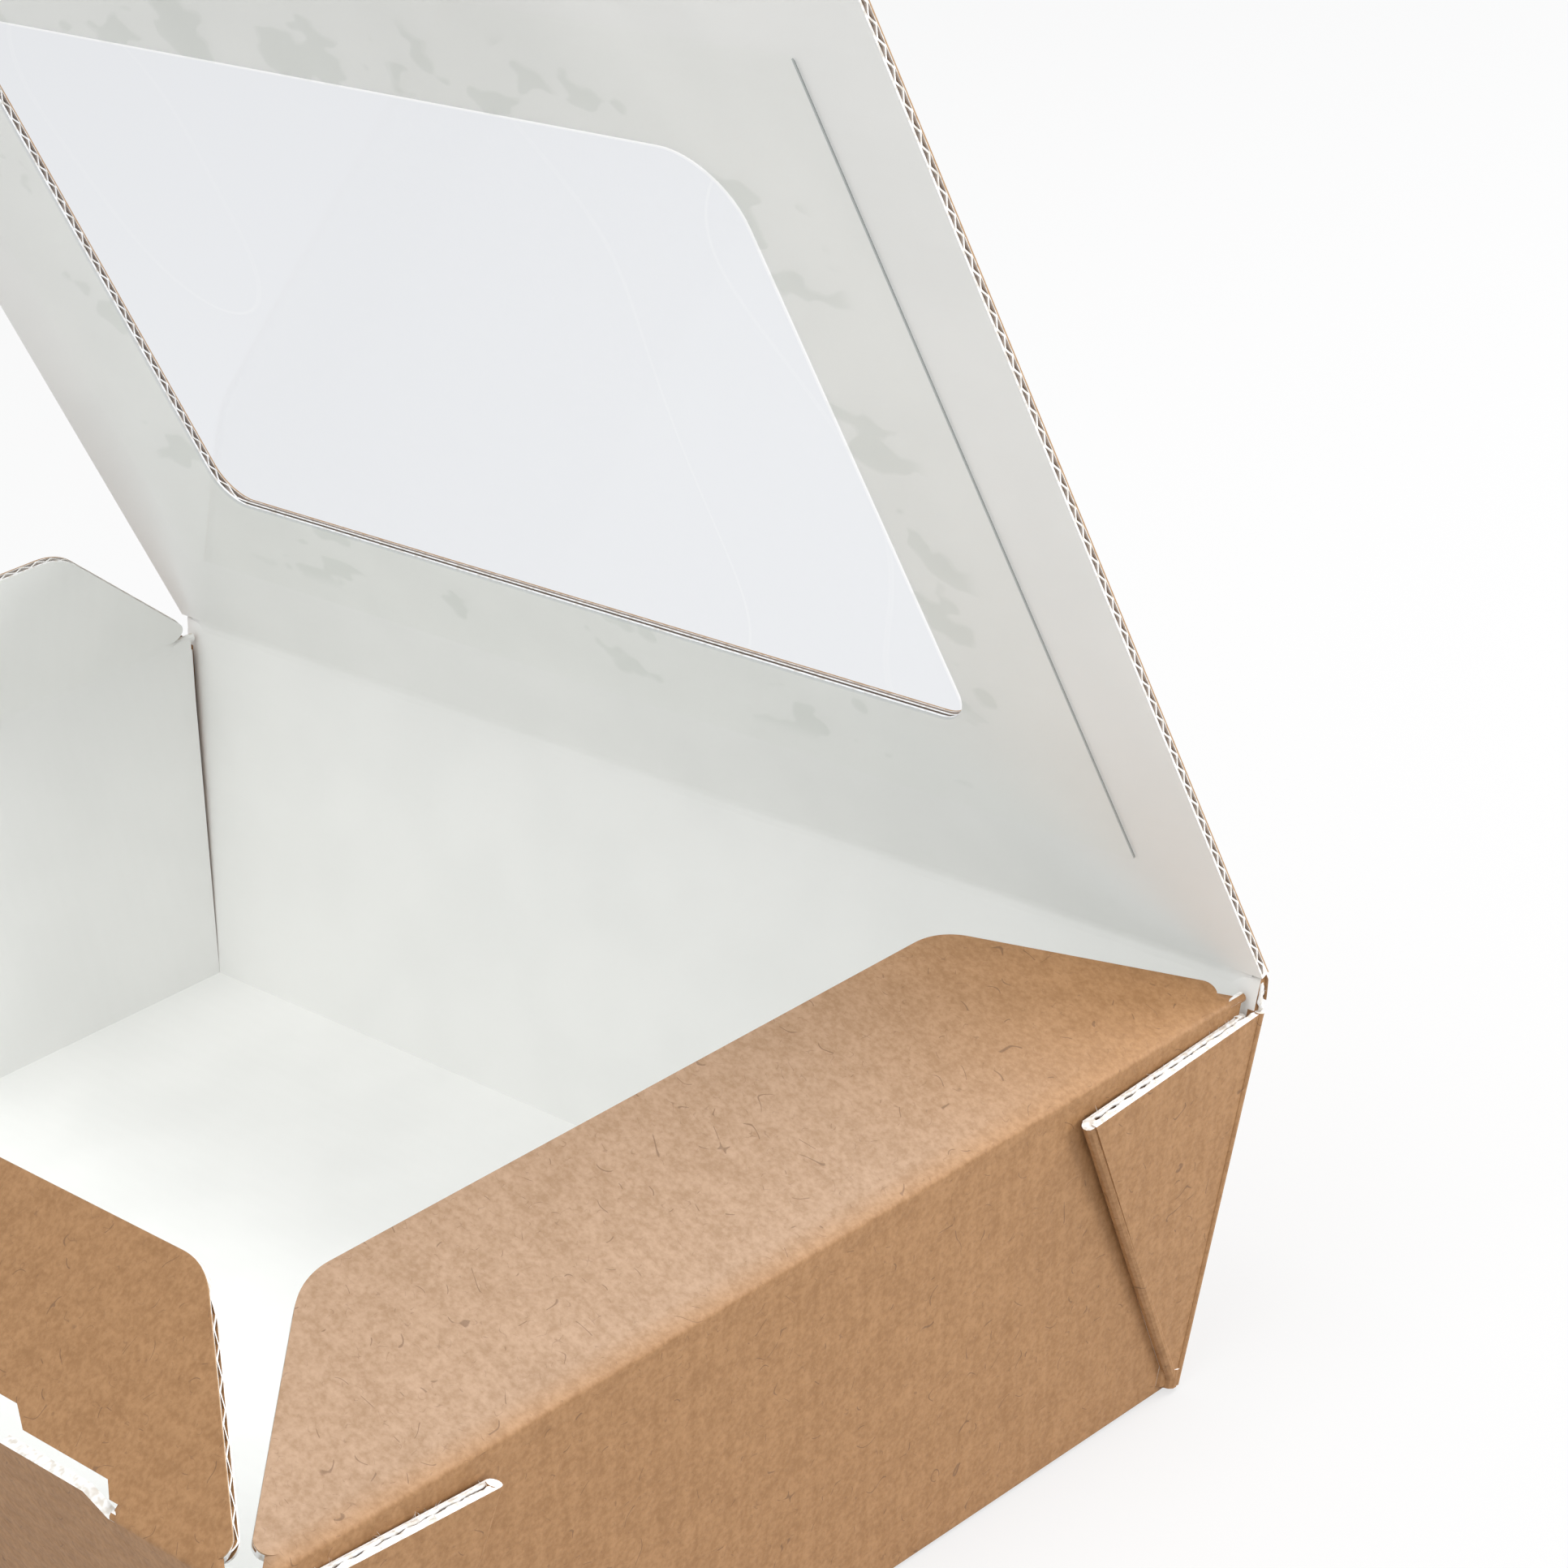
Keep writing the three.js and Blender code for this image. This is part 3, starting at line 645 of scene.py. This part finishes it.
def loose_fibres(name, spots, material, rng, body, longest=1.1 * MM):
    """Stray hairs at torn edges: short bent three-sided threads in one mesh."""
    points, faces = [], []
    for spot, lead in spots:
        aim = lead + Vector((rng.uniform(-1, 1), rng.uniform(-1, 1), rng.uniform(-0.6, 1))) * 0.9
        aim.normalize()
        curl = aim.cross(Vector((rng.uniform(-1, 1), rng.uniform(-1, 1), rng.uniform(-1, 1)))).normalized()
        side = aim.cross(curl)
        length = rng.uniform(0.35, 1.0) * longest
        thick = rng.uniform(0.018, 0.035) * MM
        base = len(points)
        for i in range(5):
            u = i / 4
            centre = spot + aim * length * u + curl * length * 0.35 * u * u
            for j in range(3):
                a = 2 * math.pi * j / 3
                radius = thick * (1 - 0.7 * u)
                points.append(centre + curl * math.cos(a) * radius + side * math.sin(a) * radius)
        for i in range(4):
            for j in range(3):
                k = (j + 1) % 3
                row = base + i * 3
                faces.append((row + j, row + k, row + 3 + k, row + 3 + j))
        faces.append((base + 2, base + 1, base))
        faces.append((base + 12, base + 13, base + 14))
    obj = mesh_object(name, points, faces, material)
    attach(obj, body)


def web_edges():
    """The torn white edges on top of the folded corner webs, and up to the lid's hinge."""
    raw = plain_board("torn_pulp", "raw", Y)
    rng = random.Random(7)
    for side_x in (1, -1):
        for side_y in (1, -1):
            label = ("right" if side_x > 0 else "left") + ("_back" if side_y > 0 else "_front")
            tip_in = SLOPE * (WEB_TIP_Z - FLOOR_Z)
            spots = []
            for layer, start, tag in ((1, 1.9 * MM, "a"), (2, 0.0, "b")):
                shift = 0.22 if layer == 1 else -0.22

                def path(u, layer=layer, start=start, shift=shift):
                    inward = start + (tip_in - start) * u
                    z = WEB_CORNER_Z + (WEB_TIP_Z - WEB_CORNER_Z) * u
                    spot = layer_point(layer + shift, side_x, side_y, inward, z)
                    return spot + Z * 0.02 * MM

                wave = 0.12 if layer == 1 else 0.20
                torn_edge(f"web_edge_{label}_{tag}", path, WEB_TEAR_WIDE, Z, X, raw, rng, wave)
                spots += [(path(rng.uniform(0.02, 0.98)), Z * 0.7) for _ in range(26)]
            loose_fibres(f"web_fibres_{label}", spots, raw, rng, "tray")
    for side_x in (1, -1):
        label = "right" if side_x > 0 else "left"
        top = Vector((side_x * (TOP_HALF - 0.7 * MM), LID_HINGE.y - 0.2 * MM, LID_HINGE.z))
        low = layer_point(2, side_x, 1, 0, WEB_CORNER_Z) + X * side_x * 0.1 * MM

        def climb(u, low=low, top=top):
            return low.lerp(top, u)

        torn_edge(f"hinge_edge_{label}", climb, HINGE_TEAR_WIDE, X * side_x, Y, raw, rng, 0.12)
        spots = [(climb(rng.random()), X * side_x) for _ in range(14)]
        loose_fibres(f"hinge_fibres_{label}", spots, raw, rng, "tray", longest=0.5 * MM)


def backdrop_material(name, color, kept):
    """Shows as white to the camera; `kept` is the share of real light and shadow left on it."""
    t = Tree(name)
    path = t.node("ShaderNodeLightPath")
    seen = t.sum("MAXIMUM", path.outputs["Is Camera Ray"], path.outputs["Is Transmission Ray"])
    seen = t.sum("MAXIMUM", seen, path.outputs["Is Glossy Ray"])
    diffuse = t.node("ShaderNodeBsdfDiffuse")
    diffuse.inputs["Color"].default_value = (*color, 1)
    glow = t.node("ShaderNodeEmission")
    glow.inputs["Color"].default_value = (1, 1, 1, 1)
    glow.inputs["Strength"].default_value = 1
    share = t.sum("MULTIPLY", seen, 1 - kept)
    return t.done(t.either(share, diffuse.outputs[0], glow.outputs[0]))


def studio():
    """Pale floor, plain sky and three soft lamps."""
    bpy.ops.mesh.primitive_plane_add(size=FLOOR_SIZE, location=(0, 0, -FLOOR_DROP))
    floor = bpy.context.object
    floor.name = "studio_floor"
    wear(floor, backdrop_material("studio_floor", (FLOOR_GREY,) * 3, FLOOR_KEPT))

    world = bpy.data.worlds.new("studio")
    bpy.context.scene.world = world
    world.use_nodes = True
    tree = world.node_tree
    tree.nodes.clear()
    path = tree.nodes.new("ShaderNodeLightPath")
    sky = tree.nodes.new("ShaderNodeBackground")
    sky.inputs["Color"].default_value = (*SKY_COLOR, 1)
    sky.inputs["Strength"].default_value = SKY_STRENGTH
    white = tree.nodes.new("ShaderNodeBackground")
    white.inputs["Color"].default_value = (1, 1, 1, 1)
    white.inputs["Strength"].default_value = 1
    seen = path.outputs["Is Camera Ray"]
    for ray in ("Is Glossy Ray", "Is Transmission Ray"):
        most = tree.nodes.new("ShaderNodeMath")
        most.operation = "MAXIMUM"
        tree.links.new(seen, most.inputs[0])
        tree.links.new(path.outputs[ray], most.inputs[1])
        seen = most.outputs[0]
    mixed = tree.nodes.new("ShaderNodeMixShader")
    out = tree.nodes.new("ShaderNodeOutputWorld")
    tree.links.new(seen, mixed.inputs[0])
    tree.links.new(sky.outputs[0], mixed.inputs[1])
    tree.links.new(white.outputs[0], mixed.inputs[2])
    tree.links.new(mixed.outputs[0], out.inputs["Surface"])

    for name, place, aim, size, power in LAMPS:
        data = bpy.data.lights.new(name, "AREA")
        data.shape = "SQUARE"
        data.size = size
        data.energy = power
        lamp = bpy.data.objects.new(name, data)
        bpy.context.collection.objects.link(lamp)
        lamp.location = place
        lamp.rotation_mode = "QUATERNION"
        lamp.rotation_quaternion = (Vector(aim) - Vector(place)).to_track_quat("-Z", "Y")


def camera():
    """The photograph's view, fitted to the box's straight edges."""
    back = Vector((
        math.sin(VIEW_AZIMUTH) * math.cos(VIEW_ELEVATION),
        -math.cos(VIEW_AZIMUTH) * math.cos(VIEW_ELEVATION),
        math.sin(VIEW_ELEVATION),
    ))
    level = Z.cross(back).normalized()
    up = back.cross(level)
    right = math.cos(VIEW_ROLL) * level + math.sin(VIEW_ROLL) * up
    top = -math.sin(VIEW_ROLL) * level + math.cos(VIEW_ROLL) * up
    data = bpy.data.cameras.new("photo_view")
    data.sensor_width = VIEW_SENSOR
    data.lens = VIEW_LENS
    data.clip_start = 0.01
    data.clip_end = 20
    eye = bpy.data.objects.new("photo_view", data)
    bpy.context.collection.objects.link(eye)
    place = Matrix((right, top, back)).transposed().to_4x4()
    place.translation = Vector(VIEW_PLACE)
    eye.matrix_world = place
    bpy.context.scene.camera = eye


paint_model()
creases()
web_edges()
studio()
camera()
bpy.context.scene.view_settings.view_transform = "Standard"
